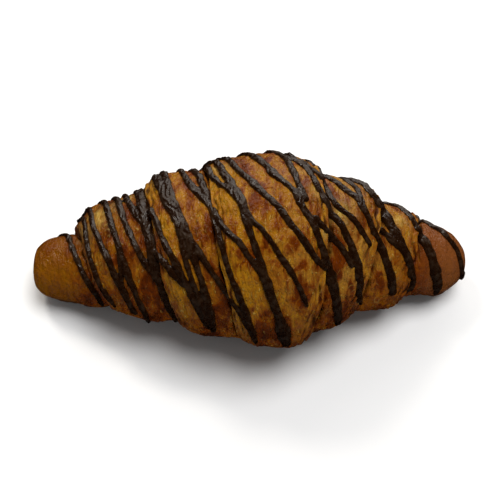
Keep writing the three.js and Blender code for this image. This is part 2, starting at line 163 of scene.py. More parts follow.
# The drizzle, piece by piece. Each bead is its points (X, angle, width), from the back over the top.
DRIZZLE = {
    "drizzle_blunt_tip": [
        [(-74.3, 172, 1.8), (-69.5, 128, 2.2), (-67, 99, 2.4), (-62.5, 58, 2.2), (-59.4, 36, 2.6),
         (-57, 16, 2.2), (-55, -14, 1.5)],
    ],
    "drizzle_blunt_shoulder": [
        [(-66.2, 158, 1.8), (-62, 120, 2.2), (-59.2, 79, 2.4), (-55, 42, 2.2), (-52.5, 27, 2.8),
         (-51.2, 19, 2), (-49, 5, 1)],
    ],
    "drizzle_first_lobe": [
        [(-67, 178, 2), (-61, 139, 2.2), (-57.5, 101, 2.4), (-54, 79, 2.6), (-51, 63, 2.8),
         (-48.2, 45, 2.8), (-45.5, 30, 3), (-43.5, 15, 2.4), (-41.5, -2, 2)],
        [(-59.7, 170, 2), (-55.5, 140, 2.4), (-51.5, 105, 2.6), (-49, 87, 2.4), (-46.5, 68, 2.6),
         (-44.5, 52, 3.2), (-42.5, 38, 3), (-41, 27, 2.2), (-39.4, 14, 2.6), (-38, 2, 2.4),
         (-37, -20, 1.6)],
        [(-47, 72, 2), (-46.4, 58, 2.2), (-46, 45, 2), (-45.6, 32, 2)],
    ],
    "drizzle_left_web": [
        [(-55.6, 183, 2), (-50.5, 139, 2.4), (-47, 107, 2.6), (-44, 87, 2.4), (-41, 71, 2.6),
         (-38, 57, 2.4), (-35.5, 48, 2.6), (-33.4, 42, 2.4)],
        [(-48.6, 160, 2), (-45.5, 125, 2.6), (-41.8, 102, 2.6), (-38.5, 90, 3), (-36.5, 78, 3),
         (-34.5, 66, 2.6)],
        [(-45.7, 186, 2.4), (-41.5, 134, 2.8), (-39.3, 107, 3.6), (-37.4, 90, 4), (-35.6, 74, 3.8),
         (-34, 57, 4.6), (-32.6, 42, 4.4), (-30.6, 26, 4), (-28.6, 8, 3.4), (-26.6, -18, 2.4)],
        [(-42.5, 172, 2), (-39, 122, 2.4), (-35.8, 99, 2.6), (-32.7, 82, 2.4), (-29.8, 67, 2.6),
         (-26.6, 56, 2.6), (-24.4, 48, 2.8), (-22.2, 39, 2.4), (-20.2, 30, 2.4), (-18, 20, 2.6),
         (-15.4, 6, 2.2)],
        [(-34.4, 66, 1.6), (-31.8, 58, 2.2), (-29, 52, 2.6), (-26.8, 46, 3), (-24.6, 42, 2.6),
         (-22.4, 36, 2)],
        [(-38.2, 180, 2.6), (-34, 128, 3.2), (-31, 107, 4.2), (-28.2, 94, 4.4), (-25.8, 84, 3.8),
         (-24.2, 74, 3.4), (-23.2, 63, 2.8), (-22, 53, 2), (-20.4, 43, 2), (-18.2, 31, 2.6), (-15.8, 16, 4),
         (-14.2, -2, 2.6)],
        [(-33.8, 162, 2.4), (-31, 128, 2.8), (-28.6, 106, 3.2), (-26, 91, 3.2), (-23.6, 79, 3.2),
         (-21.6, 68, 3.2), (-19.8, 58, 3.4), (-18, 48, 2.2), (-16.1, 37, 2.4), (-14.9, 25, 3.6),
         (-13.8, 11, 3.4), (-13, -8, 2)],
        [(-28.4, 103, 2.2), (-26, 91, 2.4), (-23.6, 80, 2.6), (-21, 70, 2.4), (-18, 61, 2.4),
         (-15, 52, 2.4), (-11.6, 43, 2.2), (-8.1, 33, 2.4), (-4.7, 25, 2.2), (-2.3, 18, 2.2),
         (0.2, 8, 1.8)],
        [(-29.1, 176, 2), (-24.5, 130, 2.4), (-21, 110, 3), (-17.5, 100, 2.8), (-14.5, 92, 2.6),
         (-12.4, 85, 2.6), (-9.9, 76, 2), (-6.7, 69, 2.2), (-3.6, 64, 2.2), (-1.2, 58, 2.4), (1.2, 53, 2.2),
         (5.5, 42, 2.6)],
        [(-24.4, 168, 2), (-20.5, 136, 2.4), (-17, 111, 3), (-14.7, 97, 3.2), (-12.8, 85, 3),
         (-11.3, 74, 2.6), (-9.8, 64, 2.4), (-8.1, 54, 2.2), (-6.3, 45, 2.4), (-4.6, 38, 2.6),
         (-3, 31, 2.4), (-1.2, 22, 2.6), (0.6, 9, 2.6), (2.2, -7, 2)],
        [(-24, 184, 2), (-17, 141, 2.2), (-14, 117, 2.6), (-10.5, 105, 2.4), (-6.8, 97, 2.6), (-4, 89, 2.4),
         (-1.6, 83, 2.2), (0.8, 76, 2), (3.9, 71, 2.2), (6.8, 65, 2), (9.9, 57, 2.2), (13, 50, 2.2),
         (16.1, 41, 1.9), (18.6, 32, 2.1), (19.8, 25, 1.5)],
        [(-19.6, 174, 2.2), (-12, 131, 2.6), (-9.6, 116, 2.8), (-7.3, 106, 3.4), (-5.2, 96, 3.6),
         (-3, 88, 3.6), (-1.6, 79, 3.2), (-0.2, 71, 2.8), (1.5, 63, 2.6), (3.1, 55, 2.6), (4.4, 48, 3.2),
         (5.6, 41, 3.4), (7.2, 33, 3.2), (9.2, 23, 3.4), (10.8, 14, 4.6), (11.8, 6, 5.6), (12.6, -2, 4.6),
         (13, -10, 2.4)],
    ],
    "drizzle_middle_web": [
        [(-13.5, 160, 2), (-8.5, 134, 2.4), (-4.9, 118, 2.6), (-0.9, 106, 2.6), (2.6, 97, 2.8),
         (6.2, 90, 2.6), (10, 83, 2.6), (13.3, 75, 2.4), (16.8, 68, 2.4), (20.2, 60, 2.6), (23.4, 53, 2.4),
         (27, 46, 2)],
        [(-10.4, 186, 2.2), (-1, 141, 2.8), (3, 125, 3.2), (6.5, 114, 3.2), (9.9, 104, 2.8),
         (13.3, 98, 2.6), (15.7, 93, 2.8), (18, 85, 3), (20.7, 77, 2.8), (22.7, 70, 2.8), (24.3, 63, 3),
         (26, 54, 3.2), (28, 43, 3.8), (30, 26, 4), (31.4, 6, 3.2), (31.8, -8, 2)],
        [(7.3, 170, 2), (13.1, 127, 2.6), (14.7, 115, 2.8), (16.2, 104, 2.6), (17.9, 95, 2.8),
         (19.8, 87, 2.6)],
        [(21.8, 80, 2), (25, 74, 2.4), (29, 68, 2.6), (32.9, 59, 2.6), (36.2, 47, 2.4)],
        [(0.9, 178, 2.2), (10, 140, 2.6), (13.5, 131, 2.6), (17, 125, 2.8), (20.1, 117, 2.8),
         (22.1, 109, 2.6), (24, 101, 2.8), (26.4, 92, 3), (28.5, 86, 2.8), (30.9, 81, 2.8), (33, 74, 3),
         (34.8, 67, 3), (36.1, 60, 3), (37.5, 52, 3.2), (38.3, 44, 3.4), (38.8, 34, 3), (38.8, 22, 2.4),
         (39.6, 8, 2.8), (40.2, -3, 2.2)],
        [(11.4, 163, 2), (17, 131, 2.4), (20.6, 122, 2.4), (24, 117, 2.4), (27, 110, 2.4), (29, 99, 2.4),
         (31.5, 91, 2.4), (35.1, 86, 2.4), (38.3, 79, 2.4), (41, 71, 2.4), (43, 64, 2)],
    ],
    "drizzle_second_lobe": [
        [(16.6, 182, 2.2), (25.8, 136, 2.6), (28.4, 124, 2.8), (31.9, 117, 2.8), (35.4, 110, 2.8),
         (38.5, 103, 3), (40.8, 94, 3), (42.8, 85, 2.8), (44.6, 77, 2.8), (46.8, 68, 3.2), (48.7, 56, 3.4),
         (50.3, 44, 3.6), (51.5, 30, 3.8), (52, 12, 3)],
        [(33.5, 141, 1.8), (35.5, 129, 2.2), (38, 121, 2.2), (39.4, 113, 2.2), (40.8, 99, 2.2)],
    ],
    "drizzle_third_lobe": [
        [(31.4, 172, 2.4), (38.1, 143, 3), (41.4, 135, 3.6), (43.8, 122, 4), (46.3, 115, 4.2),
         (48.6, 108, 4.2), (50.8, 96, 4.4), (52.9, 84, 4.6), (54.8, 73, 4.2), (56.8, 63, 3.8),
         (58.6, 50, 3.6), (60, 28, 3.4), (60, 8, 2.8), (58, -4, 1.8)],
        [(46.8, 85, 2), (49.3, 80, 2.6), (52.3, 73, 2.8), (55, 67, 2.8)],
    ],
    "drizzle_pointed_shoulder": [
        [(47.2, 168, 2), (51, 142, 2.6), (55.4, 138, 2.8), (58, 128, 3), (60.4, 113, 3.4), (62.4, 101, 3.6),
         (64.4, 90, 3.4), (66.5, 75, 3.8), (68.2, 57, 4), (69.5, 37, 4), (70.5, 12, 3.4), (70.5, -14, 2.2)],
    ],
    "drizzle_pointed_tip": [
        [(60.6, 173, 1.8), (69, 125, 2.4), (72.2, 117, 2.6), (75, 102, 2.6), (77.7, 87, 2.4),
         (79.2, 66, 2.2), (80.2, 36, 2.4), (80.8, 8, 2.8), (80.6, -12, 1.6)],
    ],
}


# ---------------------------------------------------------------- settings

def length_setting(name, description, default, low=0.0, high=1.0):
    """A length in metres that shows in the panel with its unit."""
    return bpy.props.FloatProperty(
        name=name, description=description, default=default, min=low, max=high,
        precision=5, subtype="DISTANCE", unit="LENGTH")


def colour_setting(name, description, default):
    """A colour, held as linear red, green and blue."""
    return bpy.props.FloatVectorProperty(
        name=name, description=description, default=default, size=3, min=0, max=1, subtype="COLOR")


class CroissantPastrySettings(bpy.types.PropertyGroup):
    """Sizes and colours of the baked dough."""
    lump: length_setting("Lump height", "How uneven the dough baked", 0.9 * MM, 0, 3 * MM)
    layer: length_setting("Layer height", "How far the thin layers stand out along a free edge", 0.22 * MM)
    overhang: length_setting("Lip overhang", "How far a lip bulges over the turn below", 0.9 * MM)
    # The flake colour is also the colour of the painted highlights on the crowns.
    flake_and_highlight: colour_setting("Loose flakes", "Specks of dry dough", (0.50, 0.33, 0.070))
    pale: colour_setting("Pale dough", "Unglazed dough along the free edges", (0.31, 0.128, 0.0025))
    golden: colour_setting("Golden crust", "Lightly baked crust", (0.228, 0.0765, 0.0018))
    amber: colour_setting("Amber crust", "Well baked, glazed crust", (0.164, 0.0400, 0.0008))
    brown: colour_setting("Brown crust", "Blotches where the glaze caught", (0.115, 0.0205, 0.0004))
    # The dark colour is also used as painted shade in the open seams and the grooves between the layers.
    dark: colour_setting("Dark crust", "Cracks and the depths of the creases", (0.030, 0.0047, 0.0004))
    matt: colour_setting("Matt crust", "Dull crust at the pointed end", (0.20, 0.060, 0.019))
    under: colour_setting("Underside", "Dull dough low on the sides and the tips", (0.075, 0.022, 0.0012))


class CroissantChocolateSettings(bpy.types.PropertyGroup):
    """Sizes and colours of the chocolate."""
    grain: length_setting("Bead detail", "Size of the cells that the beads are run together with", 0.32 * MM)
    colour: colour_setting("Chocolate", "Colour of the set chocolate", (0.0120, 0.0036, 0.0008))
    bloom: colour_setting("Bloom", "Colour where the chocolate set dull", (0.026, 0.0125, 0.0055))


class CroissantStageSettings(bpy.types.PropertyGroup):
    """The camera and the floor."""
    elevation: bpy.props.FloatProperty(
        name="Camera elevation", description="Angle of the camera above the floor",
        default=math.radians(57), subtype="ANGLE", unit="ROTATION")
    distance: length_setting("Camera distance", "From the camera to the croissant", 0.43, 0.1, 3)
    view_width: length_setting("View width", "Width that the camera sees at the croissant", 0.1867, 0.05, 1)
    floor: colour_setting("Floor", "Colour of the floor", (0.86, 0.86, 0.86))


# ---------------------------------------------------------------- the roll

def smooth_curve(at, values):
    """A smooth curve through knots, level beyond the first and the last, that takes arrays."""
    at, values = np.asarray(at, float), np.asarray(values, float)
    slopes = np.gradient(values, at)
    slopes[1:-1] = (values[2:] - values[:-2]) / (at[2:] - at[:-2])

    def curve(where):
        t = np.clip(where, at[0], at[-1])
        i = np.clip(np.searchsorted(at, t, side="right") - 1, 0, len(at) - 2)
        width = at[i + 1] - at[i]
        u = (t - at[i]) / width
        start = (1 + 2 * u) * (1 - u) ** 2 * values[i] + u * (1 - u) ** 2 * width * slopes[i]
        end = u * u * (3 - 2 * u) * values[i + 1] + u * u * (u - 1) * width * slopes[i + 1]
        return start + end
    return curve


def smooth_step(low, high, value):
    """From 0 below the low value to 1 above the high one, with soft ends."""
    t = np.clip((value - low) / (high - low), 0, 1)
    return t * t * (3 - 2 * t)


left_line, right_line, left_thick, right_thick, left_lip, right_lip = (
    smooth_curve(DOUGH[:, 0], DOUGH[:, column]) for column in range(1, 7))
core_radius = smooth_curve(*zip(*CORE))
axis_height = smooth_curve(*zip(*AXIS_HEIGHT))
axis_depth = smooth_curve(*zip(*AXIS_DEPTH))


def edge_wander(turn, side):
    """How far a free edge strays from its line, because dough is cut and rolled by hand."""
    angles = np.linspace(FIRST_ANGLE, LAST_ANGLE, 400)
    stray = np.zeros(len(angles))
    for wave, reach, row, start in WANDER:
        waves = [noise.noise(Vector((angle / wave, side * row, start))) for angle in angles]
        stray = stray + reach * np.array(waves)
    return np.interp(turn, angles, stray)


def free_edges(turn):
    """Where the left and right free edges of the dough lie along X, at an unrolled angle."""
    left = left_line(turn) + edge_wander(turn, LEFT_SIDE)
    right = right_line(turn) + edge_wander(turn, RIGHT_SIDE)
    return left, right


def turns_over(angle):
    """The unrolled angle of every turn of dough that passes over a direction, and whether it is there."""
    first = (angle - SEAM) % TURN + SEAM
    for turn_number in range(MOST_TURNS):
        turn = first + TURN * turn_number
        yield turn, (turn >= FIRST_ANGLE) & (turn <= LAST_ANGLE)


def rounded_lip(fraction):
    """The rise of a lip, as a share of its height, at a share of its width in from the free edge."""
    inwards = np.clip(fraction, 0, 1)
    return np.sqrt(1 - (1 - inwards) ** 2)


def roll(x, angle):
    """The roll's radius at X and an angle, with the distance in from the free edge of the turn that shows
    there, the distance out from the next lip over it, and which way along X that lip lies."""
    radius = core_radius(x)
    inside = np.full(x.shape, np.inf)
    outside = np.full(x.shape, np.inf)
    toward = np.zeros(x.shape)
    shown = np.zeros(x.shape, bool)
    for turn, there in turns_over(angle):
        left, right = free_edges(turn)
        blend = smooth_step(left, right, x)
        thick = left_thick(turn) * (1 - blend) + right_thick(turn) * blend
        rise = thick * rounded_lip((x - left) / left_lip(turn)) * rounded_lip((right - x) / right_lip(turn))
        radius = radius + np.where(there, rise, 0)
        near = np.minimum(x - left, right - x)
        covers = there & (near > 0)
        top = covers & ~shown
        share = np.clip(thick / FULL_LIP, 0, 1)
        counted = np.maximum(share, LEAST_SHARE)
        inside = np.where(top, near / counted, inside)
        toward = np.where(top, np.where(x - left < right - x, -1.0, 1.0) * share, toward)
        # Creases under the lips on the blunt side are tighter.
        tightness = np.where(x > right, 1.0, 1.9)
        out = np.where(there & ~covers & ~shown, -near * tightness / counted, np.inf)
        outside = np.minimum(outside, out)
        shown |= covers
    return radius, inside, outside, toward


def ring_places(angles, rings):
    """Where each ring of vertices crosses each direction: even along the roll, closer at the free edges."""
    samples = 1600
    reach, inset, crowding = 1.9, 0.8, 4.5
    tip_length, tip_crowding = 8, 2.5
    fade_angle = 60
    x = (np.arange(samples) + 0.5) / samples * 2 * HALF_LENGTH - HALF_LENGTH
    x, angle = np.meshgrid(x, angles, indexing="ij")
    density = np.ones(x.shape)
    for turn, there in turns_over(angle):
        starting = smooth_step(FIRST_ANGLE, FIRST_ANGLE + fade_angle, turn)
        ending = 1 - smooth_step(LAST_ANGLE - fade_angle, LAST_ANGLE, turn)
        fade = starting * ending
        left, right = free_edges(turn)
        for at in (left + inset, right - inset):
            density += np.where(there, crowding * fade * np.exp(-((x - at) / reach) ** 2), 0)
    density += tip_crowding * smooth_step(HALF_LENGTH - tip_length, HALF_LENGTH, np.abs(x))
    total = np.vstack([np.zeros(len(angles)), np.cumsum(density, axis=0)])
    edges = np.linspace(-HALF_LENGTH, HALF_LENGTH, samples + 1)
    wanted = np.linspace(0, 1, rings + 1)
    return np.stack([np.interp(wanted * column[-1], column, edges) for column in total.T], axis=1)


def section_point(x, angle, radius):
    """The place of a point of the roll, in millimetres, with the underside flattened onto the base."""
    turned = np.radians(angle)
    y = axis_depth(x) - SECTION_WIDTH * radius * np.cos(turned)
    z = axis_height(x) + SECTION_HEIGHT * radius * np.sin(turned)
    soft = (np.clip(z, -BASE_ROUNDING, BASE_ROUNDING) + BASE_ROUNDING) ** 2 / (4 * BASE_ROUNDING)
    return np.stack([x, y, np.where(z > BASE_ROUNDING, z, soft)], axis=-1)


def fractal(points, size, seed, octaves=2):
    """Smooth noise of about -1 to 1 over points in millimetres, with swells of a size."""
    shifted = points / size + seed
    return np.array([noise.fractal(Vector(p), 1.0, 2.0, octaves) for p in shifted])


def patchy(points, size, seed, middle=0.45, swing=1.6):
    """Patches from 0 to 1, flat where they are wholly one or the other."""
    return np.clip(middle + swing * fractal(points, size, seed), 0, 1)


# ---------------------------------------------------------------- mesh helpers

def deselect_all():
    """Leaves nothing selected."""
    for thing in bpy.context.selected_objects:
        thing.select_set(False)


def make_active(thing):
    """Selects one object alone, and makes it active."""
    deselect_all()
    thing.select_set(True)
    bpy.context.view_layer.objects.active = thing


def drawn_out_ball(name, around, rings):
    """A ball with its poles on X, ready to be drawn out: the object, and each vertex's ring and angle."""
    deselect_all()
    bpy.ops.mesh.primitive_uv_sphere_add(
        segments=around, ring_count=rings, radius=1, rotation=(0, math.pi / 2, 0))
    ball = bpy.context.active_object
    ball.name = name
    ball.data.name = name
    bpy.ops.object.transform_apply(location=False, rotation=True, scale=False)
    spots = get_points(ball)
    ring = np.rint((1 - np.arccos(np.clip(spots[:, 0], -1, 1)) / math.pi) * rings).astype(int)
    angle = np.degrees(np.arctan2(spots[:, 2], -spots[:, 1]))
    return ball, ring, angle


def get_points(piece):
    """Every vertex's place, a row each."""
    spots = np.empty(len(piece.data.vertices) * 3)
    piece.data.vertices.foreach_get("co", spots)
    return spots.reshape(-1, 3)


def set_points(piece, spots):
    """Moves every vertex to its row."""
    piece.data.vertices.foreach_set("co", np.ascontiguousarray(spots).ravel())
    piece.data.update()


def paint(piece, name, values):
    """Stores a number or a vector for each vertex, for the material to read."""
    kind, key = ("FLOAT", "value") if values.ndim == 1 else ("FLOAT_VECTOR", "vector")
    attribute = piece.data.attributes.new(name, kind, "POINT")
    attribute.data.foreach_set(key, values.astype(np.float32).ravel())


def apply_modifier(piece, kind, **values):
    """Adds a modifier with its values, and applies it."""
    make_active(piece)
    modifier = piece.modifiers.new(kind.title(), kind)
    for key, value in values.items():
        setattr(modifier, key, value)
    bpy.ops.object.modifier_apply(modifier=modifier.name)


def drop_crumbs(piece):
    """Deletes the specks that a remesh leaves loose, and keeps the body that its leftmost point is on."""
    make_active(piece)
    bpy.ops.object.mode_set(mode="EDIT")
    bpy.ops.mesh.select_mode(type="VERT")
    bpy.ops.mesh.select_all(action="DESELECT")
    bpy.ops.object.mode_set(mode="OBJECT")
    piece.data.vertices[int(get_points(piece)[:, 0].argmin())].select = True
    bpy.ops.object.mode_set(mode="EDIT")
    bpy.ops.mesh.select_linked()
    bpy.ops.mesh.select_all(action="INVERT")
    bpy.ops.mesh.delete(type="VERT")
    bpy.ops.object.mode_set(mode="OBJECT")


def finish_piece(piece, node):
    """Shades a piece smooth, parents it to the body it rides on, and hides the CAD part that it replaces."""
    make_active(piece)
    bpy.ops.object.shade_smooth()
    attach(piece, "root")
    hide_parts(node)


# ---------------------------------------------------------------- pastry

PASTRY_AROUND = 300
PASTRY_RINGS = 328
LEAST_RADIUS = 0.05
# The core shows bare at both ends: where along X its dull finish starts, and where it is complete.
TIP_STARTS = 58
TIP_COMPLETE = 72
# Past this far in from a free edge, nothing depends on the distance.
FAR_INSIDE = 60
# The radius that patterns which follow the turns are drawn at.
FLOW_RADIUS = 25


def by_side(toward, blunt, pointed):
    """One value for the lips that face the blunt tip, and another for those that face the pointed one."""
    return np.where(toward > 0, pointed, blunt)


def baked_radius(settings, radius, spots, near_tip):
    """The radius once the dough has risen into lumps and blisters, and the blisters as a mask."""
    drawn = spots * (1, 0.5, 0.5)
    lumps = (
        fractal(spots, size=17, seed=3.1) + 0.5 * fractal(spots, size=6.5, seed=8.7)
        + 0.3 * fractal(drawn, size=2.6, seed=5.2))
    blisters = np.clip(fractal(spots, size=3.2, seed=1.9), 0, 1) ** 1.5
    pimples = fractal(spots, size=1.9, seed=2.7)
    radius = radius + settings.lump / MM * (lumps - 0.5) * (1 - 0.6 * near_tip)
    radius = radius + (0.7 * blisters + 0.2 * pimples) * (1 - 0.7 * near_tip)
    return radius, blisters


def layered_radius(settings, radius, spots, inside, toward):
    """The radius with thin layers standing out along the lips, the lips as a mask, and the layers' waves."""
    lip_starts, lip_reach = 0.6, 4.6
    lip = np.exp(-(np.maximum(inside - lip_starts, 0) / lip_reach) ** 2) * (np.abs(toward) > FAINTEST_LIP)
    pitch = by_side(toward, blunt=1.4, pointed=1.8)
    warp = 0.6 * fractal(spots, size=6, seed=4.4)
    layers = np.sin(2 * math.pi * (inside / pitch + warp))
    height = settings.layer / MM * by_side(toward, blunt=1.2, pointed=2.2)
    return radius + height * layers * lip * smooth_step(0.05, 0.8, inside), lip, layers


def open_seams(radius, spots, outside):
    """The radius with a seam sunk under each lip, deepest where it is ajar, and the gaps as a mask for
    painted shade.
    """
    seam_middle, shut_width, shut_depth = 0.9, 0.7, 0.9
    ajar = patchy(spots, size=8, seed=6.6)
    seam = np.exp(-((outside - seam_middle) / (shut_width + 0.6 * ajar)) ** 2)
    return radius - (shut_depth + 1.5 * ajar) * seam, 0.9 * seam * ajar


def overhanging(settings, x, inside, toward):
    """X, moved out over the turn below where a lip bulges."""
    bulge_middle, bulge_reach = 0.7, 0.8
    bulge = np.exp(-((inside - bulge_middle) / bulge_reach) ** 2) * toward
    moved = x + settings.overhang / MM * bulge * smooth_step(0, 0.25, inside)
    return np.clip(moved, -HALF_LENGTH, HALF_LENGTH)


def golden_band(x, z, inside, toward):
    """How golden the lips are: widest on the blunt side, fading low down and toward the pointed end."""
    reach = by_side(toward, blunt=9, pointed=4)
    band = np.exp(-(inside / reach) ** 2) * (np.abs(toward) > FAINTEST_LIP)
    strength = by_side(toward, blunt=1.0, pointed=0.6 - 0.5 * smooth_step(24, 34, x))
    return band * strength * (0.15 + 0.85 * smooth_step(16, 48, z))


def highlight_nearness(x, angle, radius):
    """How near each place is to the middle of a painted highlight patch, from 0 to 1."""
    near = np.zeros(len(x))
    for middle, middle_angle, reach in HIGHLIGHT_PATCHES:
        around = np.radians((angle - middle_angle + TURN / 2) % TURN - TURN / 2) * radius
        near = np.maximum(near, np.exp(-((x - middle) ** 2 + around ** 2) / reach ** 2))
    return near


def pastry_shape(settings, ring, angle):
    """Every vertex's place in millimetres, with the masks that its material is painted by."""
    angle = np.where((ring == 0) | (ring == PASTRY_RINGS), 0, angle)
    columns, column = np.unique(np.round(angle, 3), return_inverse=True)
    x = ring_places(columns, PASTRY_RINGS)[ring, column]
    radius, inside, outside, toward = roll(x, angle)
    bare = ~np.isfinite(inside)
    inside = np.minimum(inside, FAR_INSIDE)
    spots = section_point(x, angle, radius)
    near_tip = smooth_step(TIP_STARTS, TIP_COMPLETE, np.abs(x)) * bare

    radius, blisters = baked_radius(settings, radius, spots, near_tip)
    radius, lip, layers = layered_radius(settings, radius, spots, inside, toward)
    radius, gap = open_seams(radius, spots, outside)
    at_end = np.abs(x) >= HALF_LENGTH - 0.01
    radius = np.where(at_end, 0, np.maximum(radius, LEAST_RADIUS))
    spots = section_point(overhanging(settings, x, inside, toward), angle, radius)

    turned = np.radians(angle)
    along = np.where(bare, x, inside)
    torn = by_side(toward, blunt=1.0, pointed=2.0) * patchy(spots, size=5, seed=9.3)
    masks = {
        "lip": lip,
        "band": golden_band(x, spots[:, 2], inside, toward),
        # The crease mask is painted shade: it darkens the crust just outside each lip, where the lip tucks
        # over the turn below.
        "crease": np.exp(-outside / 1.6) * (1 - lip),
        # The gap and strata masks are painted shade too: they darken the open seams and the grooves between
        # the layers.
        "gap": gap,
        "strata": np.clip(lip * np.clip(-layers, 0, 1) ** 2 * torn, 0, 1),
        "tip": near_tip,
        "blister": blisters,
        # The dry mask marks painted highlights: pale patches where the crowns catch the light.
        "dry": highlight_nearness(x, angle, radius) * patchy(spots, size=4, seed=12.5, middle=0.75, swing=0.9),
        "flow": np.stack([along, FLOW_RADIUS * np.cos(turned), FLOW_RADIUS * np.sin(turned)], axis=1),
    }
    return spots, masks


class CROISSANT_OT_pastry(bpy.types.Operator):
    """Bake the pastry, the rolled dough with its lips, layers and blisters"""
    bl_idname = "croissant.pastry"
    bl_label = "Pastry"

    def execute(self, context):
        settings = context.scene.croissant_pastry
        piece, ring, angle = drawn_out_ball("baked_pastry", PASTRY_AROUND, PASTRY_RINGS)
        spots, masks = pastry_shape(settings, ring, angle)
        set_points(piece, spots * MM)
        for name, values in masks.items():
            paint(piece, name, values)
        apply_modifier(piece, "SMOOTH", factor=0.3, iterations=1)
        piece.data.materials.append(crust_material(settings))
        finish_piece(piece, "pastry")
        return {"FINISHED"}


# ---------------------------------------------------------------- chocolate

BEAD_AROUND = 28
BEAD_STEP = 0.7
# Beads are measured out as if the pastry were this thick, and are laid from well outside it.
TYPICAL_RADIUS = 30
OUTSIDE_RADIUS = 70


def pastry_tree(piece):
    """The pastry's surface, ready for the chocolate to be laid on."""
    spots = [tuple(spot) for spot in get_points(piece)]
    return BVHTree.FromPolygons(spots, [tuple(face.vertices) for face in piece.data.polygons])


def bead_route(bead):
    """Points (X, angle, width) at even steps along a bead."""
    knots = np.array(bead, float)
    one_degree = TYPICAL_RADIUS * math.pi / 180
    chords = np.hypot(np.diff(knots[:, 0]), np.diff(knots[:, 1]) * one_degree)
    along = np.concatenate([[0], np.cumsum(chords)])
    count = max(8, int(along[-1] / BEAD_STEP))
    t = np.linspace(0, along[-1], count + 1)
    return np.stack([smooth_curve(along, knots[:, column])(t) for column in range(3)], axis=1)


def smoothed(values, passes):
    """Values in a row with their kinks taken out, and the ends kept."""
    values = values.copy()
    for _ in range(passes):
        values[1:-1] = (values[:-2] + 2 * values[1:-1] + values[2:]) / 4
    return values


def unit(vectors):
    """Each vector at a length of one."""
    return vectors / np.linalg.norm(vectors, axis=1)[:, None]


def bead_stations(tree, route):
    """Where a bead lies on the pastry: its centre line, and the ways up and sideways, in millimetres."""
    x, angle = route[:, 0], np.radians(route[:, 1])
    axis = np.stack([x, axis_depth(x), axis_height(x)], axis=1)
    away_y = -SECTION_WIDTH * np.cos(angle)
    away_z = SECTION_HEIGHT * np.sin(angle)
    outward = unit(np.stack([np.zeros(len(x)), away_y, away_z], axis=1))
    reach = np.empty(len(x))
    up = np.empty((len(x), 3))
    for i in range(len(x)):
        start = Vector((axis[i] + outward[i] * OUTSIDE_RADIUS) * MM)
        place, normal, _, _ = tree.ray_cast(start, Vector(-outward[i]))
        reach[i] = (np.array(place) / MM - axis[i]) @ outward[i]
        up[i] = normal
    bridged = np.maximum(smoothed(reach, passes=8), reach)
    centre = axis + outward * smoothed(bridged, passes=3)[:, None]
    ahead = unit(np.gradient(centre, axis=0))
    up = smoothed(up, passes=6) + 0.3 * outward
    up -= (up * ahead).sum(1)[:, None] * ahead
    up = unit(up)
    return centre, up, np.cross(ahead, up)


def bead_piece(tree, bead, seed):
    """One bead: a ball drawn out along its route and flattened onto the pastry, with the pouring's ridges."""
    end_rounding, ridge_pitch, lift = 2.0, 3.0, 0.15
    route = bead_route(bead)
    centre, up, side = bead_stations(tree, route)
    last = len(route) - 1
    piece, ring, angle = drawn_out_ball("bead", BEAD_AROUND, last)
    width = route[:, 2] * (1 + 0.14 * fractal(centre, size=5, seed=seed))
    height = 0.5 + 0.2 * width
    along = np.arange(last + 1)
    short = (1 - np.minimum(along, last - along) / end_rounding).clip(0, 1)
    rounding = np.sqrt(np.clip(1 - short ** 2, 0, 1))
    turned = np.radians(angle)
    across = np.cos(turned)
    near = 1 + 0.26 * fractal(centre, size=3.4, seed=seed + 11, octaves=3)
    far = 1 + 0.26 * fractal(centre, size=3.4, seed=seed + 23, octaves=3)
    half = (width * rounding / 2)[ring] * np.where(across > 0, near[ring], far[ring])
    wander = 2.2 * fractal(centre, size=7, seed=seed + 31)
    ridges = np.cos(2 * math.pi * (across * width[ring] / ridge_pitch + wander[ring]))
    uneven = 1 + 0.24 * ridges + 0.16 * fractal(centre, size=5, seed=seed + 5)[ring]
    lifted = np.sin(turned) * (height * rounding)[ring] * uneven + lift
    spots = centre[ring] - side[ring] * (across * half)[:, None] + up[ring] * lifted[:, None]
    set_points(piece, spots * MM)
    return piece


def ripple_surface(piece):
    """Moves the surface in and out by a hair, in fine ripples."""
    spots = get_points(piece) / MM
    normals = np.empty(len(spots) * 3)
    piece.data.vertices.foreach_get("normal", normals)
    ripple = 0.06 * fractal(spots, size=1.3, seed=6.1)
    set_points(piece, (spots + normals.reshape(-1, 3) * ripple[:, None]) * MM)


def drizzle_piece(tree, name, beads, settings, material):
    """One set piece of chocolate: its beads joined and run together."""
    laid = [bead_piece(tree, bead, seed=2.0 + 3.7 * i + len(name)) for i, bead in enumerate(beads)]
    make_active(laid[0])
    for bead in laid:
        bead.select_set(True)
    if len(laid) > 1:
        bpy.ops.object.join()
    piece = bpy.context.active_object
    piece.name = piece.data.name = name + "_set"
    apply_modifier(piece, "REMESH", mode="VOXEL", voxel_size=settings.grain, adaptivity=0)
    drop_crumbs(piece)
    apply_modifier(piece, "SMOOTH", factor=0.5, iterations=2)
    ripple_surface(piece)
    piece.data.materials.append(material)
    finish_piece(piece, name)


class CROISSANT_OT_drizzle(bpy.types.Operator):
    """Lay the chocolate over the pastry, in the pieces that it set in"""
    bl_idname = "croissant.drizzle"
    bl_label = "Chocolate drizzle"

    def execute(self, context):
        settings = context.scene.croissant_chocolate
        tree = pastry_tree(bpy.data.objects["baked_pastry"])
        material = chocolate_material(settings)
        for name, beads in DRIZZLE.items():
            drizzle_piece(tree, name, beads, settings, material)
        return {"FINISHED"}


# ---------------------------------------------------------------- materials

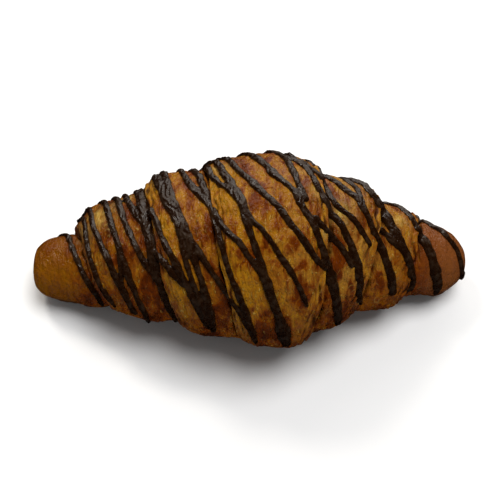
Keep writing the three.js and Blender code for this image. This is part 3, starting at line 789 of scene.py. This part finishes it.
# The crust's noises: which way they are drawn out, cells to a millimetre, detail, roughness and distortion.
CRUST_NOISES = {
    "broad": ("even", 0.05, 2, 0.5, 0.3),
    "patches": ("rolled", 0.13, 3, 0.5, 0.9),
    "mottle": ("rolled", 0.5, 2, 0.55, 0.6),
    "streaks": ("drawn", 0.75, 3, 0.55, 0.5),
    "layers": ("layered", 1.3, 3, 0.6, 0.4),
    "pores": ("even", 0.9, 2, 0.5, 0.3),
    "flakes": ("rolled", 1.1, 2, 0.5, 0.0),
    "swells": ("rolled", 0.22, 1, 0.4, 0.3),
}
CRUST_MASKS = ("lip", "band", "crease", "gap", "strata", "tip", "blister", "dry")

# Where each colour of the crust stands on the ramp from 0 to 1, and the scale that fits browning to it.
RAMP_STOPS = {"pale": 0.03, "golden": 0.19, "amber": 0.34, "brown": 0.52, "dark": 0.95}
RAMP_SCALE = 0.6


class Wiring:
    """Short calls for building one node tree."""

    def __init__(self, tree):
        self.tree = tree

    def node(self, kind, values=None, **properties):
        """A new node, with its settings, and its inputs fed by name."""
        made = self.tree.nodes.new(kind)
        for key, value in properties.items():
            setattr(made, key, value)
        for key, value in (values or {}).items():
            self.feed(made.inputs[key], value)
        return made

    def feed(self, socket, value):
        """Links a socket to another, or gives it a value."""
        if isinstance(value, bpy.types.NodeSocket):
            self.tree.links.new(value, socket)
        else:
            socket.default_value = value

    def math(self, operation, a, b=0.0, c=0.0):
        """The result of one operation on up to three values."""
        made = self.node("ShaderNodeMath", operation=operation)
        for socket, value in zip(made.inputs, (a, b, c)):
            self.feed(socket, value)
        return made.outputs[0]

    def total(self, start, *terms):
        """A value plus others, each times its weight."""
        for part, weight in terms:
            start = self.math("MULTIPLY_ADD", part, weight, start)
        return start

    def product(self, first, *others):
        """Values multiplied together."""
        for other in others:
            first = self.math("MULTIPLY", first, other)
        return first

    def most(self, a, b):
        """The greater of two values."""
        return self.math("MAXIMUM", a, b)

    def noise(self, vector, scale, detail, roughness, distortion=0.0):
        """Noise from 0 to 1."""
        made = self.node("ShaderNodeTexNoise", {
            "Vector": vector, "Scale": scale, "Detail": detail, "Roughness": roughness,
            "Distortion": distortion})
        return made.outputs["Fac"]

    def centred(self, value):
        """A value from 0 to 1, moved to swing either side of zero."""
        return self.math("SUBTRACT", value, 0.5)

    def grain(self, vector, detail):
        """Fine grain from 0 to 1."""
        made = self.node("ShaderNodeGroup", {"Vector": vector, "Detail": detail}, node_tree=fine_grain())
        return made.outputs["Grain"]

    def blend(self, amount, a, b):
        """From one value to the other."""
        made = self.node("ShaderNodeMix", data_type="FLOAT")
        for name, value in (("Factor", amount), ("A", a), ("B", b)):
            self.feed(made.inputs[name], value)
        return made.outputs["Result"]

    def mix(self, amount, a, b):
        """From one colour to the other."""
        made = self.node("ShaderNodeMix", data_type="RGBA")
        for name, value in (("Factor", amount), ("A", colour(a)), ("B", colour(b))):
            self.feed(made.inputs[name], value)
        return made.outputs["Result"]

    def ramp(self, value, stops):
        """The colour of a value, between stops of a place and a colour."""
        made = self.node("ShaderNodeValToRGB", {"Fac": value})
        elements = made.color_ramp.elements
        while len(elements) < len(stops):
            elements.new(0.5)
        for element, (at, shade) in zip(elements, stops):
            element.position = at
            element.color = colour(shade)
        return made.outputs["Color"]

    def range(self, value, low, high, to_low=0.0, to_high=1.0):
        """A value carried over smoothly from one range to another, and held at its ends."""
        made = self.node("ShaderNodeMapRange", {
            "Value": value, "From Min": low, "From Max": high, "To Min": to_low, "To Max": to_high},
            interpolation_type="SMOOTHSTEP")
        return made.outputs["Result"]

    def attribute(self, name, output="Fac"):
        """What was painted on the vertices."""
        return self.node("ShaderNodeAttribute", attribute_name=name).outputs[output]

    def scaled(self, vector, along, around):
        """Coordinates scaled along the roll and around it."""
        scale = (along, around, around)
        return self.node("ShaderNodeMapping", {"Vector": vector, "Scale": scale}).outputs["Vector"]

    def millimetres(self):
        """The piece's own coordinates, in millimetres."""
        return self.scaled(self.node("ShaderNodeTexCoord").outputs["Object"], 1 / MM, 1 / MM)

    def relieve(self, shader, height, strength, distance):
        """Raises a relief on the surface."""
        bump = self.node("ShaderNodeBump", {"Height": height, "Strength": strength, "Distance": distance})
        self.feed(shader.inputs["Normal"], bump.outputs["Normal"])


def colour(value):
    """A socket as it is, or a colour with its alpha."""
    return value if isinstance(value, bpy.types.NodeSocket) else (*value[:3], 1.0)


def fine_grain():
    """Fine grain, a group that the crust and the chocolate share, each with its own detail."""
    name = "fine grain"
    if name in bpy.data.node_groups:
        return bpy.data.node_groups[name]
    group = bpy.data.node_groups.new(name, "ShaderNodeTree")
    group.interface.new_socket("Vector", in_out="INPUT", socket_type="NodeSocketVector")
    group.interface.new_socket("Detail", in_out="INPUT", socket_type="NodeSocketFloat")
    group.interface.new_socket("Grain", in_out="OUTPUT", socket_type="NodeSocketFloat")
    wire = Wiring(group)
    given = wire.node("NodeGroupInput").outputs
    wire.node("NodeGroupOutput", {"Grain": wire.noise(given["Vector"], 1.6, given["Detail"], 0.6)})
    return group


def new_material(name):
    """A new material, its wiring and its one plain shader."""
    material = bpy.data.materials.new(name)
    material.use_nodes = True
    tree = material.node_tree
    tree.nodes.clear()
    wire = Wiring(tree)
    shader = wire.node("ShaderNodeBsdfPrincipled")
    output = wire.node("ShaderNodeOutputMaterial", {"Surface": shader.outputs["BSDF"]})
    output.is_active_output = True
    return material, wire, shader


def crust_maps(wire):
    """The crust's place along X and its height, its painted masks, and noises that swing about zero."""
    even = wire.millimetres()
    ways = {
        "even": even,
        "rolled": wire.scaled(even, 1, 0.5),
        "drawn": wire.scaled(even, 1, 0.2),
        "layered": wire.scaled(wire.attribute("flow", "Vector"), 1, 0.12),
    }
    axes = wire.node("ShaderNodeSeparateXYZ", {"Vector": even}).outputs
    maps = SimpleNamespace(x=axes["X"], height=axes["Z"])
    for name in CRUST_MASKS:
        setattr(maps, name, wire.attribute(name))
    for name, (way, *values) in CRUST_NOISES.items():
        setattr(maps, name, wire.centred(wire.noise(ways[way], *values)))
    maps.grain = wire.centred(wire.grain(even, 3))
    maps.rolled_part = wire.math("SUBTRACT", 1.0, maps.tip)
    return maps


def add_crust_marks(wire, maps):
    """Adds loose flecks, painted shade in the open seams and between the layers, the rims of blisters, and
    the dull underside.
    """
    speckled = wire.total(maps.flakes, (maps.patches, -0.3), (maps.mottle, -0.3))
    maps.flecks = wire.product(wire.range(speckled, 0.14, 0.24), maps.rolled_part)
    maps.cut = wire.most(wire.product(maps.strata, 0.9), maps.gap)
    rounds = wire.range(wire.math("ABSOLUTE", maps.swells), 0.014, 0.002)
    maps.rims = wire.product(rounds, wire.range(maps.mottle, 0.0, 0.1), maps.rolled_part)
    height = wire.total(maps.height, (maps.patches, 18.0), (maps.mottle, 8.0))
    maps.under = wire.range(height, 12.0, 5.0)


def browning(wire, maps):
    """How brown the crust is: least on the lips, with painted shade that makes it darker in the creases and
    lower down, and so lighter on the crowns.
    """
    blotchy = wire.total(maps.patches, (maps.mottle, 0.35), (maps.broad, 0.4), (maps.lip, -0.14))
    blotches = wire.range(blotchy, -0.03, 0.1)
    uneven = wire.range(wire.total(maps.patches, (maps.streaks, 0.5)), 0.1, -0.1, 0.45, 1.1)
    band = wire.product(maps.band, uneven)
    striped = wire.product(maps.layers, wire.total(0.6, (maps.lip, 1.4)))
    # The height term here and the darkening low down below are painted shade: the crust gets darker toward
    # the base as the light falls off.
    rolled = wire.total(
        0.79, (maps.x, -0.0015), (maps.height, -0.0055), (maps.broad, 1.0), (maps.patches, 1.2),
        (blotches, 0.32), (maps.mottle, 1.05), (maps.grain, 0.06), (maps.streaks, 0.45), (striped, 1.0),
        (band, -0.36), (maps.lip, -0.1), (maps.crease, 0.4))
    low_shade = wire.total(wire.range(maps.height, 46.0, 22.0, 0.0, 0.52), (maps.mottle, 0.6))
    tips = wire.total(
        0.43, (maps.broad, 0.8), (maps.patches, 0.9), (maps.mottle, 0.3), (maps.streaks, 0.3),
        (maps.grain, 0.15))
    return wire.blend(maps.tip, wire.most(rolled, low_shade), tips)


def flecks_and_highlights(wire, maps):
    """How far the pale flake colour shows: in loose flecks, and in painted highlights on the crowns, as round
    patches and a sheen high up toward the pointed end.
    """
    dry = wire.product(maps.dry, wire.range(maps.mottle, -0.3, 0.1))
    high_sheen = wire.range(maps.height, 20.0, 52.0)
    toward_point = wire.range(maps.x, 5.0, 30.0, 0.16, 1.0)
    patches = wire.range(wire.total(maps.patches, (maps.mottle, 0.5)), 0.12, -0.1, 0.0, 0.24)
    thin = wire.product(high_sheen, toward_point, patches, wire.total(1.0, (maps.lip, -0.7)), maps.rolled_part)
    marks = wire.most(wire.product(maps.flecks, 0.4), wire.product(dry, 0.85))
    return wire.most(marks, thin)


def crust_colour(wire, maps, settings):
    """Golden lips, caramel crowns with red-brown blotches, and a dull pointed end and underside."""
    stops = [(at, getattr(settings, name)) for name, at in RAMP_STOPS.items()]
    shade = wire.ramp(wire.product(browning(wire, maps), RAMP_SCALE), stops)
    # The loose flecks and the painted highlights on the crowns take the flake colour.
    shade = wire.mix(flecks_and_highlights(wire, maps), shade, settings.flake_and_highlight)
    # Painted shade: the open seams and the grooves between the layers are darkened to the dark colour.
    shade = wire.mix(maps.cut, shade, settings.dark)
    shade = wire.mix(wire.product(maps.rims, 0.25), shade, settings.flake_and_highlight)
    worn = wire.range(maps.patches, 0.2, -0.25, 0.55, 0.95)
    shade = wire.mix(wire.product(maps.tip, wire.range(maps.x, 54.0, 66.0), worn), shade, settings.matt)
    dull = wire.most(wire.product(maps.under, 0.7), wire.product(maps.tip, 0.36))
    return wire.mix(dull, shade, settings.under)


def crust_material(settings):
    """Egg-washed crust, glossier on the crowns than below, with pores, layers and cuts in relief."""
    material, wire, shader = new_material("baked crust")
    maps = crust_maps(wire)
    add_crust_marks(wire, maps)
    wire.feed(shader.inputs["Base Color"], crust_colour(wire, maps, settings))
    rough = wire.total(0.25, (maps.mottle, 0.5), (maps.lip, 0.12), (maps.under, 0.3), (maps.blister, -0.1))
    wire.feed(shader.inputs["Roughness"], rough)
    shader.inputs["Specular IOR Level"].default_value = 0.2
    relief = wire.total(
        0.0, (maps.grain, 0.15), (maps.pores, 0.4), (maps.mottle, 1.2), (maps.streaks, 0.25),
        (maps.layers, 0.3), (maps.cut, -0.5), (maps.rims, 0.12), (maps.flecks, 0.3))
    wire.relieve(shader, relief, strength=1.0, distance=1.0 * MM)
    return material


def chocolate_material(settings):
    """Dark chocolate that set half glossy, with fine ripples and a faint bloom."""
    material, wire, shader = new_material("dark chocolate")
    place = wire.millimetres()
    dull = wire.range(wire.noise(place, 0.5, 3, 0.6, 0.4), 0.42, 0.7)
    wire.feed(shader.inputs["Base Color"], wire.mix(dull, settings.colour, settings.bloom))
    wire.feed(shader.inputs["Roughness"], wire.total(0.25, (dull, 0.2)))
    shader.inputs["Specular IOR Level"].default_value = 0.4
    wire.relieve(shader, wire.grain(place, 4), strength=0.35, distance=0.35 * MM)
    return material


def floor_material(settings):
    """A plain pale floor."""
    material, _, shader = new_material("pale floor")
    shader.inputs["Base Color"].default_value = colour(settings.floor)
    shader.inputs["Roughness"].default_value = 0.8
    return material


# ---------------------------------------------------------------- stage

# What the camera and the lamps face, in metres.
AIM = Vector((0, 0.0025, 0.026))
FLOOR_SIZE = 30
SUN_SPREAD = math.radians(38)
WARM_WHITE = (1, 0.95, 0.87)
WORLD_STRENGTH = 0.2
SENSOR_WIDTH = 36


def soft_light(name, place, power, size=None):
    """A lamp that faces the croissant: a soft disc of a size that glints, or a broad sun that does not."""
    deselect_all()
    bpy.ops.object.light_add(type="AREA" if size else "SUN", location=place)
    lamp = bpy.context.active_object
    lamp.name = name
    if size:
        lamp.data.shape = "DISK"
        lamp.data.size = size
        lamp.data.color = WARM_WHITE
    else:
        lamp.data.angle = SUN_SPREAD
        lamp.visible_glossy = False
    lamp.data.energy = power
    lamp.rotation_euler = (AIM - Vector(place)).to_track_quat("-Z", "Y").to_euler()


def lay_floor(settings):
    """The floor, level with the croissant's base and left out of its gloss."""
    deselect_all()
    bpy.ops.mesh.primitive_plane_add(size=FLOOR_SIZE, location=(0, 0, CAD_BOX[0][2]))
    floor = bpy.context.active_object
    floor.name = "floor"
    floor.data.materials.append(floor_material(settings))
    floor.visible_glossy = False


def light_studio(scene):
    """The lamps, and an even light from all round."""
    soft_light("overhead", (0.26, 0.05, 1.0), power=2.7)
    soft_light("backdrop", (0.2, 1.1, 0.45), power=7.8, size=1.4)
    soft_light("window", (-0.4, 0.55, 0.8), power=3.4, size=0.24)
    world = bpy.data.worlds.new("studio")
    scene.world = world
    world.use_nodes = True
    background = world.node_tree.nodes["Background"]
    background.inputs["Color"].default_value = (1, 1, 1, 1)
    background.inputs["Strength"].default_value = WORLD_STRENGTH
    world.cycles_visibility.glossy = False
    scene.view_settings.view_transform = "Standard"


def place_camera(scene, settings):
    """The camera, in front of the croissant and looking down on it."""
    tilt = settings.elevation
    away = Vector((0, -math.cos(tilt), math.sin(tilt))) * settings.distance
    deselect_all()
    bpy.ops.object.camera_add(location=AIM + away, rotation=(math.pi / 2 - tilt, 0, 0))
    camera = bpy.context.active_object
    camera.name = "camera"
    camera.data.sensor_width = SENSOR_WIDTH
    camera.data.lens = SENSOR_WIDTH * settings.distance / settings.view_width
    camera.data.clip_start = 0.01
    scene.camera = camera


class CROISSANT_OT_stage(bpy.types.Operator):
    """Set the floor, the lights and the camera"""
    bl_idname = "croissant.stage"
    bl_label = "Stage"

    def execute(self, context):
        settings = context.scene.croissant_stage
        lay_floor(settings)
        light_studio(context.scene)
        place_camera(context.scene, settings)
        return {"FINISHED"}


class CROISSANT_PT_panel(bpy.types.Panel):
    """Lists what the croissant is made of, with its settings"""
    bl_label = "Croissant"
    bl_space_type = "VIEW_3D"
    bl_region_type = "UI"
    bl_category = "Croissant"

    def draw(self, context):
        scene = context.scene
        for operator, settings in (
            (CROISSANT_OT_pastry, scene.croissant_pastry),
            (CROISSANT_OT_drizzle, scene.croissant_chocolate),
            (CROISSANT_OT_stage, scene.croissant_stage),
        ):
            box = self.layout.box()
            box.operator(operator.bl_idname)
            for name in settings.__annotations__:
                box.prop(settings, name)


SETTINGS = {
    "croissant_pastry": CroissantPastrySettings,
    "croissant_chocolate": CroissantChocolateSettings,
    "croissant_stage": CroissantStageSettings,
}
CLASSES = [
    *SETTINGS.values(), CROISSANT_OT_pastry, CROISSANT_OT_drizzle, CROISSANT_OT_stage, CROISSANT_PT_panel]


def register():
    for made in CLASSES:
        bpy.utils.register_class(made)
    for name, settings in SETTINGS.items():
        setattr(bpy.types.Scene, name, bpy.props.PointerProperty(type=settings))


def unregister():
    for name in SETTINGS:
        delattr(bpy.types.Scene, name)
    for made in reversed(CLASSES):
        bpy.utils.unregister_class(made)


def main():
    """Makes every piece and the stage."""
    register()
    bpy.ops.croissant.pastry()
    bpy.ops.croissant.drizzle()
    bpy.ops.croissant.stage()


if __name__ == "__main__":
    main()
